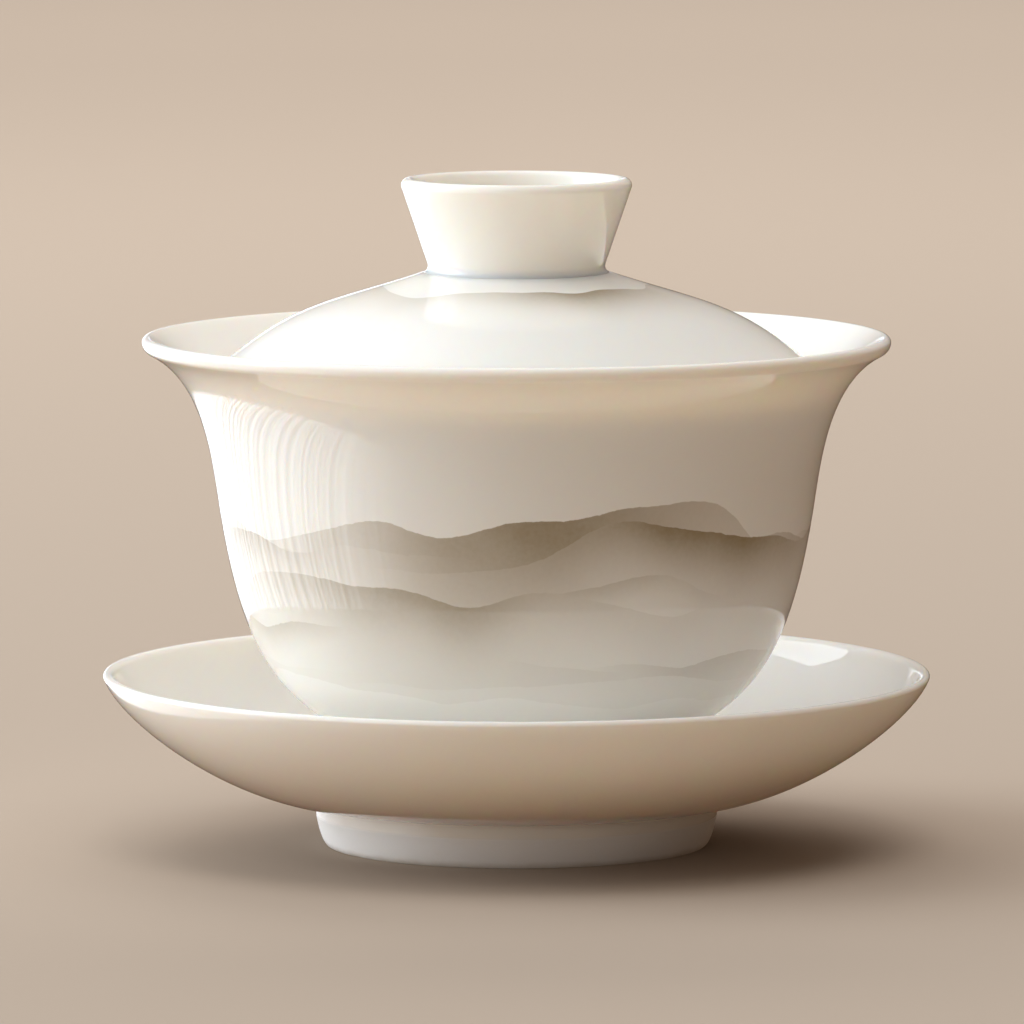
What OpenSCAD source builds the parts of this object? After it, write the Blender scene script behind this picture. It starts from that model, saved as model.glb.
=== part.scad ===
// Gaiwan: a porcelain tea bowl with a domed lid, standing on its saucer.
// Every piece is turned on a wheel, so each one is an outline of [radius, height] points
// spun about the Z axis. The saucer's foot stands on z = 0.
// The three loose pieces rest on each other: lid in bowl, bowl in saucer. Each of them is
// made of two turned forms luted together: a wall and its foot ring, or a dome and its knob.

/* [Bowl] */
// Width across the flared mouth
mouth_d = 100; // [88:1:125]
// Height from the foot to the top of the lip
bowl_h = 59.5; // [49:0.5:75]
// Width at the waist, where the belly turns into the flare
waist_d = 79.4; // [66:0.2:84]
// Height of the waist above the foot
waist_h = 36.25; // [28:0.25:40]
// Angle of the wall at the waist, above the horizontal
waist_angle = 81.3; // [74:0.1:88]
// Angle at which the belly leaves the foot, above the horizontal
belly_angle = 38; // [20:1:50]
// Thickness of the wall
bowl_wall = 2.0; // [1.4:0.1:3]
// Thickness of the floor
bowl_floor = 2.2; // [1.8:0.1:4]
// Width of the foot ring
bowl_foot_d = 43.6; // [34:0.2:52]
// Height of the foot ring
bowl_foot_h = 5.25; // [3:0.25:8]

/* [Lip] */
// Radius of the upper, inner side of the lip's edge
lip_top_r = 1.1; // [0.8:0.1:1.6]
// Radius of the lower, outer side of the lip's edge
lip_under_r = 2.0; // [1.2:0.1:3]
// Slope of the wall's inside where it reaches the lip
lip_top_angle = 31; // [20:1:50]
// Slope of the wall's outside where it reaches the lip
lip_under_angle = 27; // [20:1:50]

/* [Lid] */
// Depth of the lid's edge below the top of the lip
lid_sink = 6.3; // [4:0.1:10]
// Height of the dome, from its edge to the flat that the knob stands on
lid_rise = 14.85; // [11:0.05:22]
// Thickness of the dome
lid_wall = 2.2; // [1.6:0.1:3]
// Slope of the dome beside the knob
lid_top_angle = 18.7; // [8:0.1:24]
// Slope of the dome at its edge
lid_edge_angle = 40.4; // [32:0.1:52]

/* [Knob] */
// Width across the knob's flared rim
knob_d = 30.8; // [25:0.2:38]
// Width of the knob's neck
knob_neck_d = 23.8; // [18:0.2:28]
// Height of the knob above the dome
knob_h = 12.55; // [9:0.05:18]
// Thickness of the knob's wall
knob_wall = 1.9; // [1.4:0.1:2.8]
// Height of the hollow curve between the knob and the dome
knob_cove_h = 1.5; // [0.8:0.1:2.5]
// How far that curve spreads beyond the neck
knob_cove_w = 0.7; // [0.4:0.1:1.5]

/* [Saucer] */
// Width across the saucer
saucer_d = 110.7; // [92:0.1:135]
// Height of the saucer's lip
saucer_h = 23.2; // [17:0.1:30]
// Thickness of the saucer's lip
saucer_lip = 1.7; // [1.2:0.1:2.6]
// Thickness of the saucer's floor
saucer_floor = 2.4; // [2:0.1:4]
// Angle of the saucer's wall at its lip, above the horizontal
saucer_lip_angle = 67.7; // [50:0.1:80]
// Depth of the well that holds the bowl's foot
well_depth = 1.0; // [0.6:0.1:2]
// Width of the slope round the well
well_shoulder = 1.8; // [1:0.1:3]
// Width of the foot ring where it meets the dish
saucer_foot_d = 54; // [46:0.2:64]
// Height of the foot ring
saucer_foot_h = 6.1; // [4:0.1:9]

/* [Foot rings] */
// Thickness of both foot rings
foot_wall = 3.0; // [2.4:0.1:3.6]
// How much narrower the rings are at the bottom, on each side
foot_taper = 1.5; // [0.5:0.1:1.8]
// Width of the flat edge that they stand on
foot_contact = 0.9; // [0.6:0.1:1.1]

/* [Fit] */
// Gap left where one loose piece rests on another
seat_gap = 0.25; // [0.15:0.05:0.4]
// Side play of the bowl's foot in the saucer's well
well_play = 0.6; // [0.3:0.1:1.5]

/* [Smoothness] */
// Steps along each long curve
curve_steps = 14; // [8:1:24]
// Steps along each small round
round_steps = 4; // [3:1:8]

/* [Hidden] */
$fn = 96;

glaze_colour = "#f3efe8";
painted_colour = "#e6e1d8";
biscuit_colour = "#ece9e4";

// A step of length one at an angle above the horizontal
function heading(angle) = [cos(angle), sin(angle)];

// A smooth curve that leaves a at angle ta and reaches b at angle tb.
// pull_a and pull_b say how far each end keeps to its own direction.
function sweep(a, ta, pull_a, b, tb, pull_b, steps = curve_steps) =
    let (
        span = norm(b - a),
        c = a + pull_a * span * heading(ta),
        d = b - pull_b * span * heading(tb)
    )
    [for (i = [0:steps])
        let (t = i / steps, s = 1 - t)
        s * s * s * a + 3 * s * s * t * c + 3 * s * t * t * d + t * t * t * b];

// An arc about a centre, from one angle to another
function arc(centre, r, from, to, steps = round_steps) =
    [for (i = [0:steps]) centre + r * heading(from + (to - from) * i / steps)];

// The round of a lip that touches its widest point and its top
function lip_round(centre, r, from, to) =
    concat(arc(centre, r, from, 0), arc(centre, r, 0, 90), arc(centre, r, 90, to));

function reversed(points) = [for (i = [len(points) - 1:-1:0]) points[i]];

// The same outline without the points that repeat where two curves meet
function outline(points) =
    [for (i = [0:len(points) - 1]) if (i == 0 || norm(points[i] - points[i - 1]) > 0.001) points[i]];

// Saucer: heights of its well, and its outer radii
saucer_foot_r = saucer_foot_d / 2;
well_z = saucer_foot_h + saucer_floor;
well_r = bowl_foot_d / 2 + well_play;
saucer_lip_r = saucer_lip / 2;
saucer_lip_centre = [saucer_d / 2 - saucer_lip_r, saucer_h - saucer_lip_r];

// Bowl: heights from its foot in the well up to its lip
bowl_z = well_z + seat_gap;
bowl_foot_r = bowl_foot_d / 2;
base_z = bowl_z + bowl_foot_h;
lip_z = bowl_z + bowl_h;
waist = [waist_d / 2, bowl_z + waist_h];
inner_waist = waist + bowl_wall * heading(waist_angle + 90);
lip_top_centre = [mouth_d / 2 - lip_top_r, lip_z - lip_top_r];
lip_under_centre = [mouth_d / 2 - lip_under_r, lip_z - lip_top_r];
lip_inside = lip_top_centre + lip_top_r * heading(90 + lip_top_angle);
lip_outside = lip_under_centre + lip_under_r * heading(lip_under_angle - 90);
inner_flare = sweep(inner_waist, waist_angle, 0.35, lip_inside, lip_top_angle, 0.37);

// Inner radius of the bowl's flare at a height
function bore_at(z) = lookup(z, [for (p = inner_flare) [p[1], p[0]]]);

// Lid: its round edge lies against the flare, with the seat gap between them
lid_edge_r = lid_wall / 2;
lid_edge_z = lip_z - lid_sink;
flare_lean = atan((bore_at(lid_edge_z + 1) - bore_at(lid_edge_z - 1)) / 2);
lid_edge = [bore_at(lid_edge_z) - (lid_edge_r + seat_gap) / cos(flare_lean), lid_edge_z];
knob_z = lid_edge_z + lid_rise;
knob_base_r = knob_neck_d / 2 + knob_cove_w;

// Knob: a straight wall that runs from the neck to touch the round of the rim
rim_r = knob_wall / 2;
rim_centre = [knob_d / 2 - rim_r, knob_z + knob_h - rim_r];
neck = [knob_neck_d / 2, knob_z + knob_cove_h];
neck_to_rim = rim_centre - neck;
knob_angle = atan2(neck_to_rim[1], neck_to_rim[0]) - asin(rim_r / norm(neck_to_rim));

// A turned ring that tapers to a narrow flat edge. Its top is level, at height z + h.
module foot_ring(top_r, z, h) {
    outer_base = [top_r - foot_taper, z];
    inner_base = [outer_base[0] - foot_contact, z];
    inner_top = [top_r - foot_wall, z + h];
    rotate_extrude() polygon(outline(concat(
        sweep([top_r, z + h], -90, 0.5, outer_base, -140, 0.12),
        sweep(inner_base, 140, 0.1, inner_top, 90, 0.4)
    )));
}

module saucer_dish() {
    wall_foot = [saucer_foot_r, saucer_foot_h];
    wall_top = saucer_lip_centre + saucer_lip_r * heading(saucer_lip_angle - 90);
    inside_top = saucer_lip_centre + saucer_lip_r * heading(saucer_lip_angle + 90);
    well_rim = [well_r + well_shoulder, well_z + well_depth];
    color(glaze_colour) rotate_extrude() polygon(outline(concat(
        [[0, saucer_foot_h]],
        sweep(wall_foot, -4, 0.3, wall_top, saucer_lip_angle, 0.21),
        lip_round(saucer_lip_centre, saucer_lip_r, saucer_lip_angle - 90, saucer_lip_angle + 90),
        reversed(sweep(well_rim, 0, 0.4, inside_top, saucer_lip_angle, 0.24)),
        sweep(well_rim, 180, 0.5, [well_r, well_z], 180, 0.5, round_steps),
        [[0, well_z]]
    )));
}

module saucer_foot_ring() {
    color(biscuit_colour) foot_ring(saucer_foot_r, 0, saucer_foot_h);
}

module bowl_wall() {
    color(painted_colour) rotate_extrude() polygon(outline(concat(
        [[0, base_z]],
        sweep([bowl_foot_r, base_z], belly_angle, 0.28, waist, waist_angle, 0.67),
        sweep(waist, waist_angle, 0.3, lip_outside, lip_under_angle, 0.36),
        arc(lip_under_centre, lip_under_r, lip_under_angle - 90, 0),
        lip_round(lip_top_centre, lip_top_r, 0, 90 + lip_top_angle),
        reversed(inner_flare),
        reversed(sweep([0, base_z + bowl_floor], 0, 0.49, inner_waist, waist_angle, 0.61))
    )));
}

module bowl_foot_ring() {
    color(biscuit_colour) foot_ring(bowl_foot_r, bowl_z, bowl_foot_h);
}

module lid_dome() {
    edge_outside = lid_edge + lid_edge_r * heading(90 - lid_edge_angle);
    edge_inside = lid_edge - lid_edge_r * heading(90 - lid_edge_angle);
    color(painted_colour) rotate_extrude() polygon(outline(concat(
        [[0, knob_z]],
        sweep([knob_base_r, knob_z], -lid_top_angle, 0.46, edge_outside, -lid_edge_angle, 0.48),
        arc(lid_edge, lid_edge_r, 90 - lid_edge_angle, -90 - lid_edge_angle),
        reversed(sweep([0, knob_z - lid_wall], 0, 0.5, edge_inside, -lid_edge_angle, 0.36))
    )));
}

module lid_knob() {
    inner_base = [knob_neck_d / 2 - knob_wall, knob_z];
    color(glaze_colour) rotate_extrude() polygon(outline(concat(
        [inner_base],
        reversed(sweep(neck, knob_angle - 180, 0.4, [knob_base_r, knob_z], -lid_top_angle, 0.35, round_steps)),
        lip_round(rim_centre, rim_r, knob_angle - 90, knob_angle + 90)
    )));
}

saucer_dish();
saucer_foot_ring();
bowl_wall();
bowl_foot_ring();
lid_dome();
lid_knob();
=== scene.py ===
"""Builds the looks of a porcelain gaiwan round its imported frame.

The gaiwan is three loose pieces: a saucer, a flared bowl standing in the saucer's well, and a
domed lid lying in the bowl's flare. Each is made of two turned forms, and each form here stands
for one node of the frame. Lengths are in metres in the row frame, and the angles of outlines are
in degrees above the horizontal, going outwards.
"""

import logging
import math
from dataclasses import dataclass
from enum import Enum

import bmesh
import bpy
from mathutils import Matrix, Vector


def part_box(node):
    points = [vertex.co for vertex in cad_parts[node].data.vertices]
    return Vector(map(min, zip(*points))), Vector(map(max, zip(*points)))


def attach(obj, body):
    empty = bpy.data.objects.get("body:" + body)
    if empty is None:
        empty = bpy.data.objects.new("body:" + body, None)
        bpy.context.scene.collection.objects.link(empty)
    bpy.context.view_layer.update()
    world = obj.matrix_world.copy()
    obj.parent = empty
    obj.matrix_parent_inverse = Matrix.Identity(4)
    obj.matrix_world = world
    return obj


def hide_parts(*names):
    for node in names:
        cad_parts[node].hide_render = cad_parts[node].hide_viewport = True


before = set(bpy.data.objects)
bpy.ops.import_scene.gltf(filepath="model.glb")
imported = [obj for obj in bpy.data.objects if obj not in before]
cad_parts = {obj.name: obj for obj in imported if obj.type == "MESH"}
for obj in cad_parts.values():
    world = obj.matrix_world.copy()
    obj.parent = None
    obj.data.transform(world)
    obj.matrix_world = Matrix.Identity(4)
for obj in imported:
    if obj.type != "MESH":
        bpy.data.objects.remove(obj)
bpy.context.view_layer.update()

LOG = logging.getLogger("gaiwan")
MM = 0.001
TURN_STEPS = 192
CURVE_STEPS = 26
ROUND_STEPS = 7
OUTSIDE = "outside"

Outline = list[Vector]
Colour = tuple[float, float, float]


class Body(Enum):
    """The loose pieces, by the names of the frame's bodies."""

    SAUCER = "saucer"
    BOWL = "bowl"
    LID = "lid"


class Slot(Enum):
    """The record's material slots."""

    WHITE_GLAZE = "white_glaze"
    PAINTED_GLAZE = "painted_glaze"
    BISCUIT = "biscuit"


# ---------------------------------------------------------------- outlines


def heading(angle: float) -> Vector:
    """Gives the step of length one at an angle above the horizontal."""
    return Vector((math.cos(math.radians(angle)), 0.0, math.sin(math.radians(angle))))


def at(radius: float, height: float) -> Vector:
    """Gives the outline point at a radius and a height."""
    return Vector((radius, 0.0, height))


def sweep(
    start: Vector,
    start_angle: float,
    start_pull: float,
    end: Vector,
    end_angle: float,
    end_pull: float,
    steps: int = CURVE_STEPS,
) -> Outline:
    """Draws a smooth curve between two points.

    Args:
        start: first point.
        start_angle: direction in which the curve leaves it.
        start_pull: how far it keeps that direction, as a share of the straight distance.
        end: last point.
        end_angle: direction in which the curve arrives.
        end_pull: how far it keeps that direction, as a share of the straight distance.
        steps: number of straight pieces.

    Returns:
        The points, both ends included.
    """
    span = (end - start).length
    after_start = start + heading(start_angle) * (start_pull * span)
    before_end = end - heading(end_angle) * (end_pull * span)
    points = []
    for i in range(steps + 1):
        t = i / steps
        s = 1.0 - t
        ends = start * s**3 + end * t**3
        points.append(ends + after_start * (3 * s * s * t) + before_end * (3 * s * t * t))
    return points


def arc(centre: Vector, radius: float, first: float, last: float, steps: int = ROUND_STEPS) -> Outline:
    """Draws part of a circle.

    Args:
        centre: the circle's centre.
        radius: its radius.
        first: angle of the first point.
        last: angle of the last point.
        steps: number of straight pieces.

    Returns:
        The points, both ends included.
    """
    return [centre + heading(first + (last - first) * i / steps) * radius for i in range(steps + 1)]


def lip_round(centre: Vector, radius: float, first: float, last: float) -> Outline:
    """Draws the round of a lip through its widest point and its top.

    Args:
        centre: centre of the round.
        radius: its radius.
        first: angle of the first point, 0 or less.
        last: angle of the last point, 90 or more.

    Returns:
        The points, both ends included.
    """
    return arc(centre, radius, first, 0) + arc(centre, radius, 0, 90) + arc(centre, radius, 90, last)


def turned(name: str, outline: Outline, ring: bool) -> bpy.types.Object:
    """Turns an outline about the Z axis into a closed smooth form.

    Args:
        name: name of the new piece.
        outline: points from the axis round to the axis, or round a closed ring.
        ring: whether the outline is a closed ring that doesn't meet the axis.

    Returns:
        The new object, at the origin.
    """
    form = bmesh.new()
    points = [form.verts.new(point) for point in outline]
    pairs = list(zip(points, points[1:]))
    if ring:
        pairs.append((points[-1], points[0]))
    lines = [form.edges.new(pair) for pair in pairs]
    bmesh.ops.remove_doubles(form, verts=points, dist=0.002 * MM)
    bmesh.ops.spin(
        form,
        geom=list(form.verts) + list(form.edges),
        cent=(0, 0, 0),
        axis=(0, 0, 1),
        dvec=(0, 0, 0),
        angle=math.tau,
        steps=TURN_STEPS,
        use_merge=True,
        use_duplicate=False,
    )
    bmesh.ops.remove_doubles(form, verts=form.verts, dist=0.0005 * MM)
    bmesh.ops.recalc_face_normals(form, faces=form.faces)
    for face in form.faces:
        face.smooth = True
    mesh = bpy.data.meshes.new(name)
    form.to_mesh(mesh)
    form.free()
    LOG.info("%s: %d outline points, %d faces", name, len(lines), len(mesh.polygons))
    piece = bpy.data.objects.new(name, mesh)
    bpy.context.scene.collection.objects.link(piece)
    return piece


def mark_outside(piece: bpy.types.Object) -> None:
    """Notes which points lie on the outer face of a turned shell, for its painting.

    Args:
        piece: the shell. It gets an attribute that is 1 outside and 0 inside.
    """
    mesh = piece.data
    outside = mesh.attributes.new(OUTSIDE, "FLOAT", "POINT")
    for vertex, mark in zip(mesh.vertices, outside.data):
        radial = Vector((vertex.co.x, vertex.co.y, 0.0))
        outwards = vertex.normal.dot(radial) / max(radial.length, MM)
        mark.value = 1.0 if outwards > -0.05 else 0.0


def place(piece: bpy.types.Object, node: str, body: Body, slot: Slot, finish: bpy.types.Material) -> None:
    """Dresses a piece and lets it stand for its node of the frame.

    Args:
        piece: the new piece.
        node: the node that it replaces.
        body: the loose piece that it belongs to.
        slot: the record's slot for its finish. It is not used.
        finish: its material.
    """
    piece.data.materials.append(finish)
    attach(piece, body.value)
    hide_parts(node)
    LOG.info("%s stands for %s on %s, in %s", piece.name, node, body.value, finish.name)


# ---------------------------------------------------------------- node wiring


class Wiring:
    """Adds nodes to one node tree, with their inputs set or joined in the same call."""

    def __init__(self, tree: bpy.types.NodeTree) -> None:
        """Starts on a tree.

        Args:
            tree: the tree that takes the nodes.
        """
        self.tree = tree

    def add(self, kind: str, inputs: dict | None = None, **settings: object) -> bpy.types.Node:
        """Adds a node.

        Args:
            kind: the node's class name without its ShaderNode prefix.
            inputs: value or socket for each input, by name or by number.
            settings: properties of the node.

        Returns:
            The new node.
        """
        node = self.tree.nodes.new("ShaderNode" + kind)
        for name, value in settings.items():
            setattr(node, name, value)
        for key, value in (inputs or {}).items():
            if isinstance(value, bpy.types.NodeSocket):
                self.tree.links.new(value, node.inputs[key])
            else:
                node.inputs[key].default_value = value
        return node

    def math(self, operation: str, *values: object, clamp: bool = False) -> bpy.types.NodeSocket:
        """Adds a math node.

        Args:
            operation: what it does.
            values: a number or a socket for each input.
            clamp: whether its result is kept from 0 to 1.

        Returns:
            Its result.
        """
        node = self.add("Math", dict(enumerate(values)), operation=operation, use_clamp=clamp)
        return node.outputs[0]

    def noise(
        self, place: object, scale: object, detail: float = 3.0, seed: float = 0.0
    ) -> bpy.types.NodeSocket:
        """Adds a noise that is the same all round the piece.

        Args:
            place: the point that it is read at.
            scale: its fineness, in features per metre.
            detail: number of finer layers.
            seed: which of its many patterns is used.

        Returns:
            Its value, about 0.5 on average.
        """
        inputs = {"Vector": place, "Scale": scale, "Detail": detail, "W": seed}
        return self.add("TexNoise", inputs, noise_dimensions="4D").outputs["Fac"]

    def span(self, value: object, low: float, high: float) -> bpy.types.NodeSocket:
        """Adds a rise from 0 at the low value to 1 at the high value.

        Args:
            value: what is measured.
            low: where the rise starts.
            high: where the rise ends.

        Returns:
            The share of the rise.
        """
        return self.add("MapRange", {"Value": value, "From Min": low, "From Max": high}).outputs["Result"]

    def blend(self, share: object, first: object, second: object, how: str = "MIX") -> bpy.types.NodeSocket:
        """Adds a colour mix.

        Args:
            share: how much of the second colour shows.
            first: the first colour.
            second: the second colour.
            how: the way they mix.

        Returns:
            The mixed colour.
        """
        node = self.add("Mix", {0: share, 6: first, 7: second}, data_type="RGBA", blend_type=how)
        return node.outputs[2]


def new_group(name: str, inputs: dict[str, str], outputs: dict[str, str]) -> bpy.types.NodeTree:
    """Makes an empty node group with named sockets.

    Args:
        name: the group's name.
        inputs: kind of each input, by name.
        outputs: kind of each output, by name.

    Returns:
        The group's tree, with its input and output nodes named "in" and "out".
    """
    tree = bpy.data.node_groups.new(name, "ShaderNodeTree")
    for label, kind in inputs.items():
        tree.interface.new_socket(label, in_out="INPUT", socket_type="NodeSocket" + kind)
    for label, kind in outputs.items():
        tree.interface.new_socket(label, in_out="OUTPUT", socket_type="NodeSocket" + kind)
    tree.nodes.new("NodeGroupInput").name = "in"
    tree.nodes.new("NodeGroupOutput").name = "out"
    return tree


def opaque(colour: Colour) -> tuple[float, float, float, float]:
    """Gives a colour with full alpha."""
    return (*colour, 1.0)


class SharedEffects:
    """The surface effects that more than one finish uses, each as one node group."""

    def __init__(self) -> None:
        """Builds every group once."""
        self.glaze_surface = self._glaze_surface()
        self.wash_layer = self._wash_layer()
        self.turn_place = self._turn_place()
        self.foot_wear = self._foot_wear()

    @staticmethod
    def _glaze_surface() -> bpy.types.NodeTree:
        """Makes the skin of fired glaze: slow waves, fine orange peel, pin specks and pooling.

        Returns:
            The group, with Roughness, Pool, Speck and Normal outputs.
        """
        tree = new_group(
            "glaze_surface",
            {"Place": "Vector", "Base Roughness": "Float", "Wave": "Float", "Specks": "Float"},
            {"Roughness": "Float", "Pool": "Float", "Speck": "Float", "Normal": "Vector"},
        )
        wiring = Wiring(tree)
        given = tree.nodes["in"].outputs
        slow = wiring.noise(given["Place"], 45.0, detail=1.0, seed=2.0)
        peel = wiring.noise(given["Place"], 700.0, detail=1.0, seed=5.0)
        waves = wiring.math("MULTIPLY", wiring.math("SUBTRACT", slow, 0.5), given["Wave"])
        height = wiring.math("MULTIPLY_ADD", peel, 0.012, waves)
        bump = wiring.add("Bump", {"Strength": 1.0, "Distance": 0.05 * MM, "Height": height})
        breath = wiring.noise(given["Place"], 90.0, detail=4.0, seed=9.0)
        spread = wiring.math("MULTIPLY_ADD", breath, 0.012, -0.006)
        rough = wiring.math("ADD", given["Base Roughness"], spread, clamp=True)
        pool = wiring.noise(given["Place"], 28.0, detail=2.0, seed=13.0)
        cells = wiring.add("TexVoronoi", {"Vector": given["Place"], "Scale": 75.0}, feature="F1")
        dot = wiring.math("LESS_THAN", cells.outputs["Distance"], 0.014)
        pick = wiring.add("SeparateColor", {"Color": cells.outputs["Color"]})
        rare = wiring.math("LESS_THAN", pick.outputs["Red"], given["Specks"])
        out = tree.nodes["out"].inputs
        tree.links.new(rough, out["Roughness"])
        tree.links.new(pool, out["Pool"])
        tree.links.new(wiring.math("MULTIPLY", dot, rare), out["Speck"])
        tree.links.new(bump.outputs["Normal"], out["Normal"])
        return tree

    @staticmethod
    def _turn_place() -> bpy.types.NodeTree:
        """Makes the painter's way of measuring a turned piece.

        Returns:
            The group. Turn runs from 0 to 1 over each half turn and is 0.5 at the front.
        """
        tree = new_group(
            "turn_place", {"Place": "Vector"}, {"Turn": "Float", "Height": "Float", "Radius": "Float"}
        )
        wiring = Wiring(tree)
        parts = wiring.add("SeparateXYZ", {"Vector": tree.nodes["in"].outputs["Place"]}).outputs
        towards = wiring.math("MULTIPLY", parts["Y"], -1.0)
        angle = wiring.math("ARCTAN2", parts["X"], towards)
        turn = wiring.math("FRACT", wiring.math("MULTIPLY_ADD", angle, 1.0 / math.pi, 1.5))
        across = wiring.math("MULTIPLY", parts["X"], parts["X"])
        squares = wiring.math("MULTIPLY_ADD", parts["Y"], parts["Y"], across)
        out = tree.nodes["out"].inputs
        tree.links.new(turn, out["Turn"])
        tree.links.new(parts["Z"], out["Height"])
        tree.links.new(wiring.math("SQRT", squares), out["Radius"])
        return tree

    @staticmethod
    def _wash_layer() -> bpy.types.NodeTree:
        """Makes one range of hills in ink wash, laid over the ranges behind it.

        Returns:
            The group. Lengths are in metres, and Wash is the strength of the ink from 0 to 1.
        """
        labels = ("Wash", "Level", "Skyline", "Strength", "Haze", "Fade", "Edge", "Veil")
        tree = new_group("wash_layer", dict.fromkeys(labels, "Float"), {"Wash": "Float"})
        wiring = Wiring(tree)
        given = tree.nodes["in"].outputs
        below = wiring.math("SUBTRACT", given["Skyline"], given["Level"])
        inputs = {"Value": below, "From Min": 0.0, "From Max": given["Edge"]}
        inside = wiring.add("MapRange", inputs, interpolation_type="SMOOTHSTEP").outputs["Result"]
        depth = wiring.math("DIVIDE", wiring.math("MAXIMUM", below, 0.0), given["Fade"])
        fade = wiring.math("EXPONENT", wiring.math("MULTIPLY", wiring.math("POWER", depth, 1.4), -1.0))
        reach = wiring.math("SUBTRACT", given["Strength"], given["Haze"])
        own = wiring.math("MULTIPLY_ADD", reach, fade, given["Haze"])
        hidden = wiring.math("MAXIMUM", wiring.math("SUBTRACT", given["Wash"], own), 0.0)
        shown = wiring.math("MULTIPLY_ADD", hidden, wiring.math("SUBTRACT", 1.0, given["Veil"]), own)
        change = wiring.math("SUBTRACT", shown, given["Wash"])
        wash = wiring.math("MULTIPLY_ADD", change, inside, given["Wash"])
        tree.links.new(wash, tree.nodes["out"].inputs["Wash"])
        return tree

    @staticmethod
    def _foot_wear() -> bpy.types.NodeTree:
        """Makes the greying of bare clay towards the edge that it stands on.

        Returns:
            The group. Wear is 1 on the standing edge and 0 from Reach above it.
        """
        tree = new_group(
            "foot_wear",
            {"Place": "Vector", "Floor": "Float", "Reach": "Float"},
            {"Wear": "Float", "Grain": "Float", "Normal": "Vector"},
        )
        wiring = Wiring(tree)
        given = tree.nodes["in"].outputs
        height = wiring.add("SeparateXYZ", {"Vector": given["Place"]}).outputs["Z"]
        above = wiring.math("DIVIDE", wiring.math("SUBTRACT", height, given["Floor"]), given["Reach"])
        rub = wiring.noise(given["Place"], 320.0, detail=4.0, seed=3.0)
        wear = wiring.math("SUBTRACT", wiring.math("ADD", rub, 0.5), above, clamp=True)
        grain = wiring.noise(given["Place"], 2600.0, detail=3.0, seed=7.0)
        bump = wiring.add("Bump", {"Strength": 1.0, "Distance": 0.012 * MM, "Height": grain})
        out = tree.nodes["out"].inputs
        tree.links.new(wear, out["Wear"])
        tree.links.new(grain, out["Grain"])
        tree.links.new(bump.outputs["Normal"], out["Normal"])
        return tree


# ---------------------------------------------------------------- painting


# Each row is how many hills of one size stand in half a turn, and their share of a range's swell.
HUMPS = ((1, 0.55), (2, 0.3), (3, 0.24), (5, 0.15), (8, 0.07))
GOLDEN_TURN = math.pi * (3.0 - math.sqrt(5.0))
SKYLINE_STEPS = 36


@dataclass(frozen=True)
class Range:
    """One range of hills: an invented skyline over half a turn, and the ink below it.

    Crest is the skyline's middle level and swell is how far it rises and falls, in millimetres.
    The highest hill stands near the turn named by peak, in degrees from the front. The ink is full
    there, and drops to the share named by faint opposite it. Strength is the ink just below the
    skyline, haze is what is left of it far below, and fade is how many millimetres it takes.
    Veil is how much the range hides of the ranges behind it.
    """

    peak: float
    crest: float
    swell: float
    strength: float
    haze: float
    fade: float
    faint: float = 1.0
    veil: float = 1.0

    def rise(self, turn: float, number: int) -> float:
        """Works out how far the skyline rises above its middle level.

        Args:
            turn: where on the half turn, from 0 to 1 with the front at 0.5.
            number: the range's place in its painting, which shifts the small hills.

        Returns:
            The rise in millimetres.
        """
        around = math.tau * (turn - 0.5 - self.peak / 180.0)
        shift = (number + 1) * GOLDEN_TURN
        waves = (share * math.cos(hills * around + (hills - 1) * shift) for hills, share in HUMPS)
        return self.swell * sum(waves)


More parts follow.
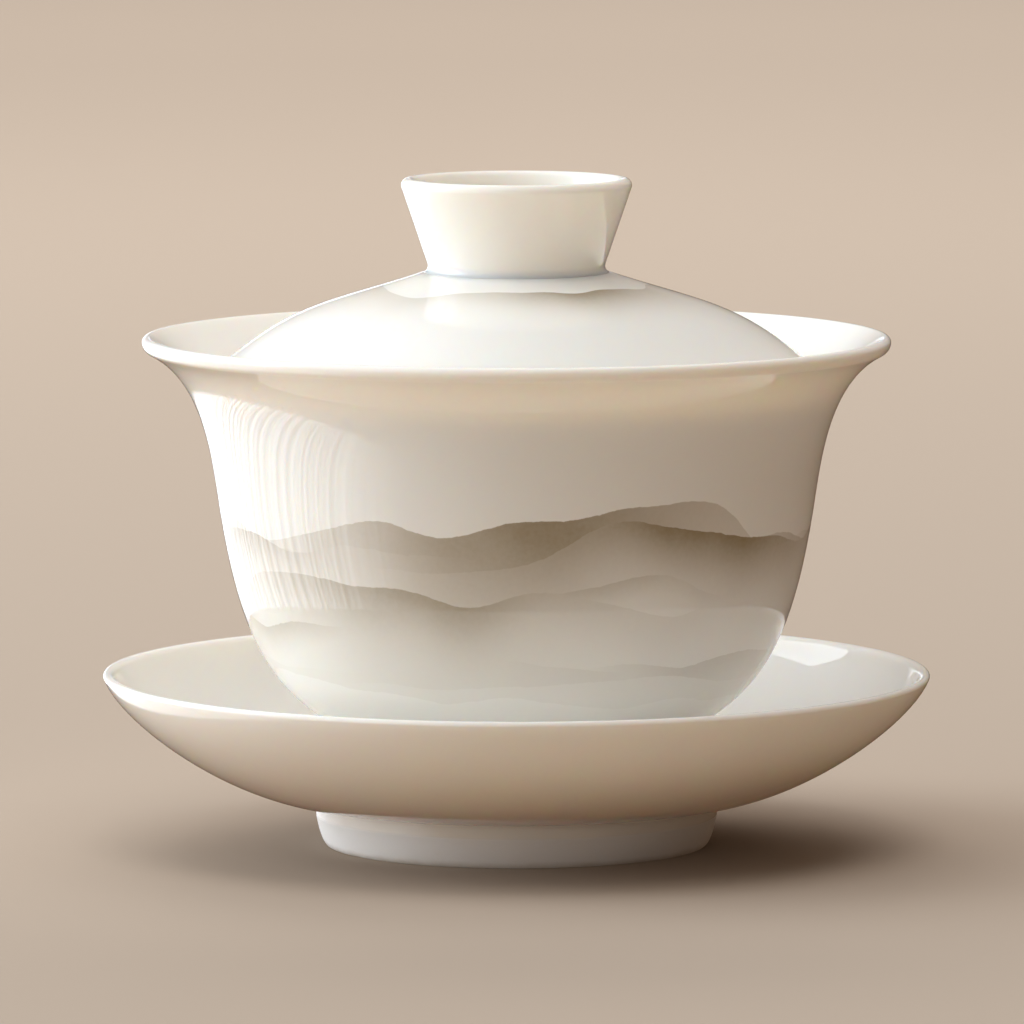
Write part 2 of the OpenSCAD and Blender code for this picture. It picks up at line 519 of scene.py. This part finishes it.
@dataclass(frozen=True)
class HillPainting:
    """A misty landscape in grey ink, painted twice round a turned piece.

    base is the level that the skylines are measured from. On a wall they are heights above it.
    With from_axis they are distances outwards from the axis, and the ink fades outwards. span is
    the length that the skylines' curves count as 1.
    """

    ranges: tuple[Range, ...]
    base: float
    span: float = 60 * MM
    from_axis: bool = False
    edge: float = 0.13 * MM
    ragged: float = 0.65 * MM

    @property
    def way(self) -> float:
        """Gives 1 where hills rise upwards, and -1 where they rise towards the axis."""
        return -1.0 if self.from_axis else 1.0

    def wash(
        self, wiring: Wiring, effects: SharedEffects, position: bpy.types.NodeSocket
    ) -> bpy.types.NodeSocket:
        """Paints every range, far ones first.

        Args:
            wiring: the material's wiring.
            effects: the shared node groups.
            position: the point on the piece.

        Returns:
            The strength of the ink.
        """
        spot = wiring.add("Group", {"Place": position}, node_tree=effects.turn_place)
        turn = spot.outputs["Turn"]
        measured = spot.outputs["Radius" if self.from_axis else "Height"]
        level = wiring.math("MULTIPLY", wiring.math("SUBTRACT", measured, self.base), self.way)
        ink: object = 0.0
        for number, hills in enumerate(self.ranges):
            skyline = self._skyline(wiring, hills, number, turn)
            jagged = wiring.noise(position, 260.0, detail=4.0, seed=number + 1.0)
            offset = wiring.math("MULTIPLY", wiring.math("SUBTRACT", jagged, 0.5), self.ragged)
            crumbs = wiring.noise(position, 1100.0, detail=3.0, seed=number + 60.0)
            fine = wiring.math("SUBTRACT", crumbs, 0.5)
            offset = wiring.math("MULTIPLY_ADD", fine, 0.5 * self.ragged, offset)
            patch = wiring.noise(position, 70.0, detail=3.0, seed=number + 20.0)
            uneven = wiring.math("MULTIPLY_ADD", patch, 0.5 * hills.strength, 0.75 * hills.strength)
            share = self._share(wiring, hills, turn)
            inputs = {
                "Wash": ink,
                "Level": level,
                "Skyline": wiring.math("MULTIPLY_ADD", skyline, self.way * self.span, offset),
                "Strength": wiring.math("MULTIPLY", uneven, share),
                "Haze": wiring.math("MULTIPLY", share, hills.haze),
                "Fade": hills.fade * MM,
                "Edge": self.edge,
                "Veil": wiring.math("MULTIPLY", share, hills.veil),
            }
            ink = wiring.add("Group", inputs, node_tree=effects.wash_layer).outputs["Wash"]
        grains = wiring.noise(position, 1500.0, detail=2.0, seed=41.0)
        grain = wiring.math("MULTIPLY_ADD", grains, 0.16, 0.92)
        grainy = wiring.math("MULTIPLY", ink, grain, clamp=True)
        outside = wiring.add("Attribute", attribute_name=OUTSIDE).outputs["Fac"]
        return wiring.math("MULTIPLY", grainy, outside)

    @staticmethod
    def _share(wiring: Wiring, hills: Range, turn: bpy.types.NodeSocket) -> bpy.types.NodeSocket:
        """Makes the ink of a range fuller on one side.

        Args:
            wiring: the material's wiring.
            hills: the range.
            turn: where on the half turn the point is.

        Returns:
            The share of the range's strength there.
        """
        start = -math.tau * (hills.peak / 180.0 + 0.5)
        swing = wiring.math("COSINE", wiring.math("MULTIPLY_ADD", turn, math.tau, start))
        lobe = wiring.math("POWER", wiring.math("MULTIPLY_ADD", swing, 0.5, 0.5), 3.0)
        return wiring.math("MULTIPLY_ADD", lobe, 1.0 - hills.faint, hills.faint)

    def _skyline(
        self, wiring: Wiring, hills: Range, number: int, turn: bpy.types.NodeSocket
    ) -> bpy.types.NodeSocket:
        """Draws a skyline as a smooth curve over half a turn.

        Args:
            wiring: the material's wiring.
            hills: the range.
            number: the range's place in the painting.
            turn: where on the half turn the point is.

        Returns:
            The skyline there, as a share of the span.
        """
        node = wiring.add("FloatCurve", {"Value": turn})
        curve = node.mapping.curves[0]
        for step in range(SKYLINE_STEPS + 1):
            share = step / SKYLINE_STEPS
            level = (hills.crest + self.way * hills.rise(share, number)) * MM / self.span
            if step in (0, SKYLINE_STEPS):
                curve.points[0 if step == 0 else -1].location = (share, level)
            else:
                curve.points.new(share, level)
        node.mapping.update()
        return node.outputs["Value"]


BOWL_RANGES = (
    Range(peak=80, crest=33, swell=4, strength=0.45, haze=0.25, fade=9, faint=0.15),
    Range(peak=5, crest=36.5, swell=5, strength=0.9, haze=0.3, fade=14, faint=0.25),
    Range(peak=40, crest=34, swell=4, strength=1.0, haze=0.02, fade=6.2, faint=0.3),
    Range(peak=-65, crest=33, swell=4, strength=0.52, haze=0.0, fade=4.5, faint=0.0, veil=0.8),
    Range(peak=15, crest=27.5, swell=3, strength=0.52, haze=0.0, fade=3, faint=0.1, veil=0.2),
    Range(peak=-20, crest=27, swell=5, strength=0.76, haze=0.12, fade=5.2, faint=0.25, veil=0.8),
    Range(peak=-60, crest=22, swell=3.5, strength=0.42, haze=0.0, fade=3, faint=0.0, veil=0.0),
    Range(peak=0, crest=18, swell=2, strength=0.2, haze=0.14, fade=4, faint=0.5, veil=0.0),
    Range(peak=50, crest=18, swell=2.5, strength=0.3, haze=0.06, fade=4.5, faint=0.1, veil=0.0),
    Range(peak=10, crest=16, swell=1.2, strength=0.1, haze=0.04, fade=3),
    Range(peak=-40, crest=14, swell=2.5, strength=0.0, haze=0.0, fade=5),
)

LID_RANGES = (
    Range(peak=30, crest=17.6, swell=1.8, strength=0.95, haze=0.0, fade=4.8, faint=0.34),
    Range(peak=60, crest=20.6, swell=1.4, strength=0.3, haze=0.0, fade=2.4, faint=0.4, veil=0.0),
)


# ---------------------------------------------------------------- finishes


def new_finish(name: str) -> tuple[bpy.types.Material, Wiring]:
    """Makes an empty material.

    Args:
        name: its name.

    Returns:
        The material and the wiring of its tree.
    """
    finish = bpy.data.materials.new(name)
    finish.use_nodes = True
    finish.node_tree.nodes.clear()
    return finish, Wiring(finish.node_tree)


@dataclass(frozen=True)
class GlazedPorcelain:
    """White porcelain under a clear, very glossy glaze, plain or painted."""

    name: str
    white: Colour = (0.905, 0.887, 0.853)
    pooled: Colour = (0.895, 0.874, 0.825)
    ink: Colour = (0.37, 0.305, 0.20)
    speck: Colour = (0.16, 0.11, 0.07)
    gloss: float = 0.016
    wave: float = 0.4
    specks: float = 0.12
    painting: HillPainting | None = None

    def build(self, effects: SharedEffects) -> bpy.types.Material:
        """Makes the material.

        Args:
            effects: the shared node groups.

        Returns:
            The new material.
        """
        finish, wiring = new_finish(self.name)
        position = wiring.add("TexCoord").outputs["Object"]
        inputs = {"Place": position, "Base Roughness": self.gloss, "Wave": self.wave, "Specks": self.specks}
        skin = wiring.add("Group", inputs, node_tree=effects.glaze_surface)
        colour = wiring.blend(skin.outputs["Pool"], opaque(self.white), opaque(self.pooled))
        if self.painting is not None:
            wash = self.painting.wash(wiring, effects, position)
            colour = wiring.blend(wash, colour, opaque(self.ink), how="MULTIPLY")
        colour = wiring.blend(skin.outputs["Speck"], colour, opaque(self.speck))
        shader = wiring.add(
            "BsdfPrincipled",
            {
                "Base Color": colour,
                "Roughness": skin.outputs["Roughness"],
                "Normal": skin.outputs["Normal"],
                "IOR": 1.5,
                "Subsurface Weight": 0.6,
                "Subsurface Radius": (1.0, 0.72, 0.5),
                "Subsurface Scale": 2.4 * MM,
            },
        )
        wiring.add("OutputMaterial", {"Surface": shader.outputs["BSDF"]})
        return finish


@dataclass(frozen=True)
class FootFinish:
    """A foot ring: glaze at the top, painted darker and warmer there as shade, bare satin clay below the
    glaze line, rubbed at the edge.
    """

    name: str
    floor: float
    glaze_line: float
    # painted shade: the glaze band is darker and warmer than the glaze on the dishes, standing in for the
    # shade at the top of the ring
    shaded_glaze: Colour = (0.80, 0.755, 0.68)
    bare: Colour = (0.80, 0.785, 0.76)
    rubbed: Colour = (0.60, 0.56, 0.50)
    line_wander: float = 0.16 * MM
    line_below: float = 0.25 * MM
    line_above: float = 0.35 * MM
    rub_reach: float = 0.9 * MM

    def build(self, effects: SharedEffects) -> bpy.types.Material:
        """Makes the material.

        Args:
            effects: the shared node groups.

        Returns:
            The new material.
        """
        finish, wiring = new_finish(self.name)
        position = wiring.add("TexCoord").outputs["Object"]
        height = wiring.add("SeparateXYZ", {"Vector": position}).outputs["Z"]
        wander = wiring.noise(position, 60.0, detail=2.0, seed=11.0)
        line = wiring.math("MULTIPLY_ADD", wander, self.line_wander, self.glaze_line - self.line_wander / 2)
        above = wiring.math("SUBTRACT", height, line)
        inputs = {"Value": above, "From Min": -self.line_below, "From Max": self.line_above}
        shaded_glaze = wiring.add("MapRange", inputs, interpolation_type="SMOOTHSTEP").outputs["Result"]
        inputs = {"Place": position, "Floor": self.floor, "Reach": self.rub_reach}
        wear = wiring.add("Group", inputs, node_tree=effects.foot_wear)
        clay = wiring.blend(wear.outputs["Wear"], opaque(self.bare), opaque(self.rubbed))
        clay = wiring.blend(wiring.math("MULTIPLY", wear.outputs["Grain"], 0.12), clay, opaque(self.rubbed))
        # painted shade: the glaze band above the line gets the darker, warmer colour
        colour = wiring.blend(shaded_glaze, clay, opaque(self.shaded_glaze))
        rough = wiring.math("MULTIPLY_ADD", shaded_glaze, -0.3, 0.4)
        shader = wiring.add(
            "BsdfPrincipled",
            {
                "Base Color": colour,
                "Roughness": rough,
                "Normal": wear.outputs["Normal"],
                "IOR": 1.5,
                "Subsurface Weight": 0.2,
                "Subsurface Radius": (1.0, 0.72, 0.5),
                "Subsurface Scale": 1.2 * MM,
            },
        )
        wiring.add("OutputMaterial", {"Surface": shader.outputs["BSDF"]})
        return finish


# ---------------------------------------------------------------- pieces


@dataclass
class FootRing:
    """A turned ring that a saucer or a bowl stands on, narrowing to a flat bare edge."""

    node: str
    wall: float = 3.0 * MM
    taper: float = 1.5 * MM
    contact: float = 0.9 * MM
    glaze_share: float = 0.66
    glaze_roll: float = 0.05 * MM
    roll_height: float = 0.5 * MM

    def __post_init__(self) -> None:
        """Takes the ring's place from the frame."""
        low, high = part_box(self.node)
        self.floor = low.z
        self.top = high.z
        self.radius = high.y

    @property
    def glaze_line(self) -> float:
        """Height at which the glaze ends."""
        return self.floor + (self.top - self.floor) * self.glaze_share

    def outline(self) -> Outline:
        """Draws the ring's section, with the glaze standing proud above its line.

        Returns:
            The points round the closed section.
        """
        outer_base = at(self.radius - self.taper, self.floor)
        inner_base = at(outer_base.x - self.contact, self.floor)
        inner_top = at(self.radius - self.wall, self.top)
        outside = sweep(at(self.radius, self.top), -90, 0.5, outer_base, -140, 0.12)
        for point in outside:
            rise = (point.z - self.glaze_line) / self.roll_height
            point.x += self.glaze_roll * math.exp(-rise * rise)
        inside = sweep(inner_base, 140, 0.1, inner_top, 90, 0.4)
        return outside + inside

    def make(self, name: str, body: Body, effects: SharedEffects) -> bpy.types.Object:
        """Builds and dresses the ring.

        Args:
            name: name of the piece.
            body: the loose piece that it belongs to.
            effects: the shared node groups.

        Returns:
            The piece.
        """
        piece = turned(name, self.outline(), ring=True)
        finish = FootFinish(name + "_clay", self.floor, self.glaze_line).build(effects)
        place(piece, self.node, body, Slot.BISCUIT, finish)
        return piece


@dataclass
class Saucer:
    """The shallow dish and its foot ring."""

    lip_outer_r: float = 0.5 * MM
    lip_inner_r: float = 1.2 * MM
    lip_angle: float = 67.7
    floor_wall: float = 2.4 * MM
    well_depth: float = 1.0 * MM
    well_shoulder: float = 1.8 * MM
    well_play: float = 0.6 * MM

    def __post_init__(self) -> None:
        """Takes the dish's sizes from the frame."""
        low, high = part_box("saucer_dish")
        self.base = low.z
        self.top = high.z
        self.radius = high.y
        self.foot = FootRing("saucer_foot_ring")
        self.well_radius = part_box("bowl_foot_ring")[1].y + self.well_play

    def outline(self) -> Outline:
        """Draws the dish's section from the middle of its underside to the middle of its well.

        Returns:
            The points.
        """
        outer = at(self.radius - self.lip_outer_r, self.top - self.lip_outer_r)
        inner = at(outer.x, self.top - self.lip_inner_r)
        wall_top = outer + heading(self.lip_angle - 90) * self.lip_outer_r
        inside_top = inner + heading(self.lip_angle + 90) * self.lip_inner_r
        well = self.base + self.floor_wall
        rim = at(self.well_radius + self.well_shoulder, well + self.well_depth)
        underside = sweep(at(self.foot.radius, self.base), -4, 0.3, wall_top, self.lip_angle, 0.21)
        inside = sweep(rim, 0, 0.4, inside_top, self.lip_angle, 0.24)
        shoulder = sweep(rim, 180, 0.5, at(self.well_radius, well), 180, 0.5, ROUND_STEPS)
        return (
            [at(0, self.base), at(self.foot.radius - self.foot.wall, self.base)]
            + underside
            + lip_round(outer, self.lip_outer_r, self.lip_angle - 90, 90)
            + arc(inner, self.lip_inner_r, 90, self.lip_angle + 90)
            + inside[::-1]
            + shoulder
            + [at(self.well_radius * 0.5, well), at(0, well)]
        )

    def make(self, effects: SharedEffects) -> None:
        """Builds and dresses the saucer.

        Args:
            effects: the shared node groups.
        """
        dish = turned("saucer_glazed_dish", self.outline(), ring=False)
        finish = GlazedPorcelain("saucer_glaze").build(effects)
        place(dish, "saucer_dish", Body.SAUCER, Slot.WHITE_GLAZE, finish)
        self.foot.make("saucer_foot", Body.SAUCER, effects)


@dataclass
class Bowl:
    """The thin flared bowl and its foot ring."""

    wall: float = 2.0 * MM
    floor_wall: float = 2.2 * MM
    waist_radius: float = 39.7 * MM
    waist_above_foot: float = 36.25 * MM
    waist_angle: float = 81.3
    belly_angle: float = 38.0
    lip_top_r: float = 0.75 * MM
    lip_under_r: float = 1.5 * MM
    lip_top_angle: float = 31.0
    lip_under_angle: float = 27.0

    def __post_init__(self) -> None:
        """Takes the bowl's sizes from the frame."""
        low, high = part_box("bowl_wall")
        self.base = low.z
        self.top = high.z
        self.radius = high.y
        self.foot = FootRing("bowl_foot_ring")

    def outline(self) -> Outline:
        """Draws the bowl's section from the middle of its underside to the middle of its floor.

        Returns:
            The points.
        """
        waist = at(self.waist_radius, self.foot.floor + self.waist_above_foot)
        inner_waist = waist + heading(self.waist_angle + 90) * self.wall
        level = self.top - self.lip_top_r
        top_centre = at(self.radius - self.lip_top_r, level)
        under_centre = at(self.radius - self.lip_under_r, level)
        lip_inside = top_centre + heading(90 + self.lip_top_angle) * self.lip_top_r
        lip_outside = under_centre + heading(self.lip_under_angle - 90) * self.lip_under_r
        belly_start = at(self.foot.radius, self.base)
        inner_start = at(0, self.base + self.floor_wall)
        belly = sweep(belly_start, self.belly_angle, 0.28, waist, self.waist_angle, 0.67)
        flare = sweep(waist, self.waist_angle, 0.3, lip_outside, self.lip_under_angle, 0.36)
        inner_flare = sweep(inner_waist, self.waist_angle, 0.35, lip_inside, self.lip_top_angle, 0.37)
        inner_belly = sweep(inner_start, 0, 0.49, inner_waist, self.waist_angle, 0.61)
        return (
            [at(0, self.base), at(self.foot.radius - self.foot.wall, self.base)]
            + belly
            + flare
            + arc(under_centre, self.lip_under_r, self.lip_under_angle - 90, 0)
            + lip_round(top_centre, self.lip_top_r, 0, 90 + self.lip_top_angle)
            + inner_flare[::-1]
            + inner_belly[::-1]
        )

    def make(self, effects: SharedEffects) -> None:
        """Builds and dresses the bowl.

        Args:
            effects: the shared node groups.
        """
        painting = HillPainting(BOWL_RANGES, base=self.foot.floor)
        shell = turned("bowl_shell", self.outline(), ring=False)
        mark_outside(shell)
        finish = GlazedPorcelain("bowl_painted_glaze", painting=painting).build(effects)
        place(shell, "bowl_wall", Body.BOWL, Slot.PAINTED_GLAZE, finish)
        self.foot.make("bowl_foot", Body.BOWL, effects)


@dataclass
class Knob:
    """The hollow flared knob, luted on the flat top of the dome."""

    wall: float = 1.9 * MM
    neck_radius: float = 11.9 * MM
    cove_height: float = 1.2 * MM
    cove_width: float = 0.45 * MM
    dome_angle: float = 18.7

    def __post_init__(self) -> None:
        """Takes the knob's sizes from the frame."""
        low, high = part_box("lid_knob")
        self.base = low.z
        self.top = high.z
        self.radius = high.y

    @property
    def base_radius(self) -> float:
        """Radius of the knob where it meets the dome."""
        return self.neck_radius + self.cove_width

    def outline(self) -> Outline:
        """Draws the knob's section.

        Returns:
            The points round the closed section.
        """
        rim_r = self.wall / 2
        centre = at(self.radius - rim_r, self.top - rim_r)
        neck = at(self.neck_radius, self.base + self.cove_height)
        reach = centre - neck
        lean = math.degrees(math.atan2(reach.z, reach.x) - math.asin(rim_r / reach.length))
        foot = at(self.base_radius, self.base)
        cove = sweep(neck, lean - 180, 0.4, foot, -self.dome_angle, 0.35, ROUND_STEPS)
        return (
            [at(self.neck_radius - self.wall, self.base)]
            + cove[::-1]
            + lip_round(centre, rim_r, lean - 90, lean + 90)
        )


@dataclass
class Lid:
    """The dome with its round edge, and the knob."""

    wall: float = 2.2 * MM
    top_angle: float = 18.7
    edge_angle: float = 40.4

    def __post_init__(self) -> None:
        """Takes the lid's sizes from the frame."""
        low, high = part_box("lid_dome")
        self.edge_r = self.wall / 2
        self.edge = at(high.y - self.edge_r, low.z + self.edge_r)
        self.top = high.z
        self.knob = Knob()

    def outline(self) -> Outline:
        """Draws the dome's section from the middle of its top to the middle of its underside.

        Returns:
            The points.
        """
        outside_end = self.edge + heading(90 - self.edge_angle) * self.edge_r
        inside_end = self.edge - heading(90 - self.edge_angle) * self.edge_r
        shoulder = at(self.knob.base_radius, self.top)
        outside = sweep(shoulder, -self.top_angle, 0.46, outside_end, -self.edge_angle, 0.48)
        inside = sweep(at(0, self.top - self.wall), 0, 0.5, inside_end, -self.edge_angle, 0.36)
        return (
            [at(0, self.top)]
            + outside
            + arc(self.edge, self.edge_r, 90 - self.edge_angle, -90 - self.edge_angle, 2 * ROUND_STEPS)
            + inside[::-1]
        )

    def make(self, effects: SharedEffects) -> None:
        """Builds and dresses the lid.

        Args:
            effects: the shared node groups.
        """
        painting = HillPainting(LID_RANGES, base=0.0, from_axis=True, ragged=0.3 * MM)
        dome = turned("lid_shell", self.outline(), ring=False)
        mark_outside(dome)
        finish = GlazedPorcelain("lid_painted_glaze", painting=painting).build(effects)
        place(dome, "lid_dome", Body.LID, Slot.PAINTED_GLAZE, finish)
        knob = turned("lid_hollow_knob", self.knob.outline(), ring=True)
        finish = GlazedPorcelain("knob_glaze").build(effects)
        place(knob, "lid_knob", Body.LID, Slot.WHITE_GLAZE, finish)


# ---------------------------------------------------------------- studio


@dataclass(frozen=True)
class SoftLight:
    """A rectangular soft light. It faces the middle of the gaiwan unless it has another target."""

    name: str
    place: tuple[float, float, float]
    size: tuple[float, float]
    power: float
    colour: Colour
    mirrored: bool = True
    target: tuple[float, float, float] = (0.0, 0.0, 0.045)

    def build(self) -> bpy.types.Object:
        """Hangs the light, facing its target.

        Returns:
            The light.
        """
        lamp = bpy.data.lights.new(self.name, "AREA")
        lamp.shape = "RECTANGLE"
        lamp.size, lamp.size_y = self.size
        lamp.energy = self.power
        lamp.color = self.colour
        light = bpy.data.objects.new(self.name, lamp)
        light.location = self.place
        light.visible_glossy = self.mirrored
        facing = Vector(self.target) - Vector(self.place)
        light.rotation_euler = facing.to_track_quat("-Z", "Y").to_euler()
        bpy.context.scene.collection.objects.link(light)
        return light


ROOM_LIGHTS = (
    SoftLight("window", (-1.3, 0.2, 0.5), (1.1, 1.1), 14.8, (0.87, 0.955, 1.02)),
    SoftLight("overhead", (0.0, 0.1, 1.4), (1.6, 1.2), 10.3, (0.98, 0.985, 1.0), mirrored=False),
    SoftLight("right_fill", (1.2, 0.45, 0.45), (0.5, 1.0), 0.7, (1.0, 0.88, 0.74)),
    SoftLight("low_fill", (-0.5, -1.1, 0.14), (1.3, 0.24), 2.0, (1.0, 0.92, 0.83)),
    SoftLight("front_top", (0.1, -0.55, 1.25), (0.6, 0.6), 2.9, (1.0, 0.95, 0.88), mirrored=False),
    SoftLight("back_high", (-0.15, 1.2, 0.9), (0.8, 0.5), 3.5, (1.0, 0.985, 0.96), mirrored=False),
    SoftLight(
        "back_wash",
        (-0.1, 2.1, 1.3),
        (2.4, 1.8),
        32.0,
        (1.0, 0.985, 0.97),
        mirrored=False,
        target=(-0.1, 2.1, 0.0),
    ),
)


@dataclass(frozen=True)
class Studio:
    """A plain pale floor, soft light from the left and behind, and the camera.

    The wall, table and glow colours each belong to a part of the painted room round the floor.
    Curtain is the brightness of the lit cloth at the left, and pleats is how close its folds are.
    """

    camera_distance: float = 1.2787
    camera_pitch: float = 5.936
    lens: float = 336.0
    aim_height: float = 44.56 * MM
    aim_side: float = -0.6 * MM
    floor_colour: Colour = (0.425, 0.35, 0.285)
    floor_bounce: Colour = (0.47, 0.36, 0.27)
    floor_near_shade: Colour = (0.26, 0.155, 0.09)
    floor_radius: float = 14.0
    near_radius: float = 45 * MM
    far_radius: float = 95 * MM
    right_wall: Colour = (0.10, 0.07, 0.05)
    left_wall: Colour = (1.05, 1.12, 1.17)
    right_table: Colour = (0.12, 0.07, 0.04)
    left_table: Colour = (0.4, 0.28, 0.2)
    cloth_tint: Colour = (0.94, 1.0, 1.06)
    back_glow: Colour = (0.34, 0.27, 0.21)
    curtain: float = 1.6
    pleats: float = 20.0

    def build(self) -> None:
        """Sets the whole scene round the gaiwan."""
        scene = bpy.context.scene
        scene.view_settings.view_transform = "Standard"
        self._floor()
        self._world()
        for light in ROOM_LIGHTS:
            light.build()
        self._camera()

    def _floor(self) -> None:
        """Lays the floor: plain to the eye, and darker near the foot for the light it bounces, as painted
        shade on the undersides.

        Glossy rays pass it, so that the glaze mirrors the painted room instead.
        """
        form = bmesh.new()
        bmesh.ops.create_circle(form, cap_ends=True, segments=96, radius=self.floor_radius)
        mesh = bpy.data.meshes.new("floor")
        form.to_mesh(mesh)
        form.free()
        floor = bpy.data.objects.new("floor", mesh)
        bpy.context.scene.collection.objects.link(floor)
        paint, wiring = new_finish("floor_paint")
        seen = wiring.add("LightPath").outputs["Is Camera Ray"]
        spot = wiring.add("TexCoord").outputs["Object"]
        away = wiring.add("VectorMath", {0: spot}, operation="LENGTH").outputs["Value"]
        afar = wiring.span(away, self.near_radius, self.far_radius)
        # painted shade: bounced light is darker close to the foot, which shades the undersides of the
        # pieces
        bounce = wiring.blend(afar, opaque(self.floor_near_shade), opaque(self.floor_bounce))
        colour = wiring.blend(seen, bounce, opaque(self.floor_colour))
        inputs = {"Base Color": colour, "Roughness": 0.9, "Specular IOR Level": 0.0}
        shader = wiring.add("BsdfPrincipled", inputs)
        wiring.add("OutputMaterial", {"Surface": shader.outputs["BSDF"]})
        mesh.materials.append(paint)
        floor.visible_glossy = False

    def _world(self) -> None:
        """Paints the room: pale above and to the left, warm and darker low down and to the right."""
        world = bpy.data.worlds.new("room")
        bpy.context.scene.world = world
        world.use_nodes = True
        world.node_tree.nodes.clear()
        wiring = Wiring(world.node_tree)
        direction = wiring.add("TexCoord").outputs["Generated"]
        parts = wiring.add("SeparateXYZ", {"Vector": direction}).outputs
        left = wiring.math("MULTIPLY", parts["X"], -1.0)
        leftward = wiring.math("MULTIPLY", parts["X"], -1.0, clamp=True)
        high = wiring.math("MULTIPLY_ADD", parts["Z"], 5.0, 0.5, clamp=True)
        wall = wiring.blend(leftward, opaque(self.right_wall), opaque(self.left_wall))
        table = wiring.blend(leftward, opaque(self.right_table), opaque(self.left_table))
        room = wiring.blend(high, table, wall)
        room = wiring.blend(1.0, room, self._curtain(wiring, parts, left), how="ADD")
        room = wiring.blend(self._behind(wiring, parts), room, opaque(self.back_glow), how="LIGHTEN")
        background = wiring.add("Background", {"Color": room, "Strength": 1.0})
        wiring.add("OutputWorld", {"Surface": background.outputs["Background"]})

    def _curtain(
        self, wiring: Wiring, parts: bpy.types.NodeOutputs, left: bpy.types.NodeSocket
    ) -> bpy.types.NodeSocket:
        """Hangs a lit, pleated curtain on the left of the painted room.

        Args:
            wiring: the room's wiring.
            parts: the X, Y and Z of the direction looked in.
            left: how far to the left that is.

        Returns:
            The light that the curtain adds.
        """
        over_hem = wiring.span(wiring.math("MULTIPLY_ADD", parts["Z"], 1.02, left), 0.0, 0.04)
        past_front = wiring.span(wiring.math("MULTIPLY_ADD", parts["Y"], 1.5, left), -0.35, 0.5)
        under_top = wiring.math("MULTIPLY_ADD", parts["Z"], -12.0, 1.2, clamp=True)
        across = wiring.math("DIVIDE", parts["Y"], parts["X"])
        fold = wiring.add("CombineXYZ", {"X": across}).outputs["Vector"]
        folds = wiring.noise(fold, self.pleats, detail=3.0, seed=4.0)
        folds = wiring.math("MULTIPLY_ADD", folds, 9.0, -4.0, clamp=True)
        shape = wiring.math("MULTIPLY", wiring.math("MULTIPLY", over_hem, past_front), under_top)
        lit = wiring.math("MULTIPLY_ADD", folds, 1.2 * self.curtain, 0.4 * self.curtain)
        glow = wiring.math("MULTIPLY", shape, lit)
        return wiring.blend(1.0, glow, opaque(self.cloth_tint), how="MULTIPLY")

    @staticmethod
    def _behind(wiring: Wiring, parts: bpy.types.NodeOutputs) -> bpy.types.NodeSocket:
        """Finds the wall behind the gaiwan, for mirror images only.

        Args:
            wiring: the room's wiring.
            parts: the X, Y and Z of the direction looked in.

        Returns:
            The share of the wall's glow that shows.
        """
        behind = wiring.math("MULTIPLY_ADD", parts["Y"], 2.0, -0.7, clamp=True)
        above = wiring.math("MULTIPLY_ADD", parts["Z"], 8.0, 0.2, clamp=True)
        mirrored = wiring.add("LightPath").outputs["Is Glossy Ray"]
        return wiring.math("MULTIPLY", wiring.math("MULTIPLY", behind, above), mirrored)

    def _camera(self) -> None:
        """Sets the camera a little above the rim, far off, with a long lens."""
        pitch = math.radians(self.camera_pitch)
        aim = Vector((self.aim_side, 0.0, self.aim_height))
        back = Vector((0.0, -math.cos(pitch), math.sin(pitch)))
        lens = bpy.data.cameras.new("camera")
        lens.lens = self.lens
        lens.clip_start = 0.05
        lens.clip_end = 60.0
        camera = bpy.data.objects.new("camera", lens)
        camera.location = aim + back * self.camera_distance
        camera.rotation_euler = (-back).to_track_quat("-Z", "Y").to_euler()
        bpy.context.scene.collection.objects.link(camera)
        bpy.context.scene.camera = camera


def main() -> None:
    """Builds the studio and the three loose pieces."""
    logging.basicConfig(level=logging.INFO, format="%(name)s: %(message)s")
    effects = SharedEffects()
    Studio().build()
    for piece in (Saucer(), Bowl(), Lid()):
        piece.make(effects)


if __name__ == "__main__":
    main()
